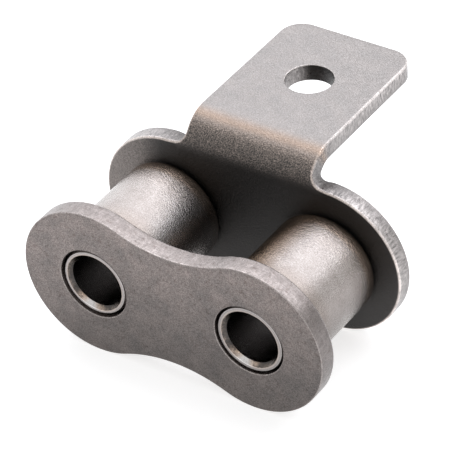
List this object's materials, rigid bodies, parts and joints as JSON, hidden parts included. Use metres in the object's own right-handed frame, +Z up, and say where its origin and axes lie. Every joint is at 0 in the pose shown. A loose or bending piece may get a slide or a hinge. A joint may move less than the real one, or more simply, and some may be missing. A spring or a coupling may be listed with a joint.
{
  "type": "chain attachment link",
  "caption": "Inner link of a roller chain with one side plate drawn up and bent outward into a flat tab with a round fixing hole.",
  "frame": {"origin": "on the axis of the left pin bore, midway between the two plates", "axes": "+X along the chain to the other bore, +Y from the plain plate to the plate with the tab, +Z up, away from the tab's top face"},
  "size_m": [0.0365, 0.0369, 0.0206],
  "materials": {
    "plate_steel": "satin, tumbled",
    "attachment_steel": "satin, tumbled",
    "bushing_steel": "ground and bright",
    "roller_steel": "satin, shot peened"
  },
  "bodies": {
    "link": {"plain_link_plate": "plate_steel", "attachment_plate": "attachment_steel", "bushing_left": "bushing_steel", "bushing_right": "bushing_steel"},
    "left_roller": {"roller_left": "roller_steel"},
    "right_roller": {"roller_right": "roller_steel"}
  },
  "joints": [
    {"name": "left_roller_spin", "type": "hinge", "parent": "link", "child": "left_roller", "pos_m": [0, 0, 0], "axis": [0, 1, 0], "continuous": true},
    {"name": "right_roller_spin", "type": "hinge", "parent": "link", "child": "right_roller", "pos_m": [0.01905, 0, 0], "axis": [0, 1, 0], "continuous": true}
  ]
}
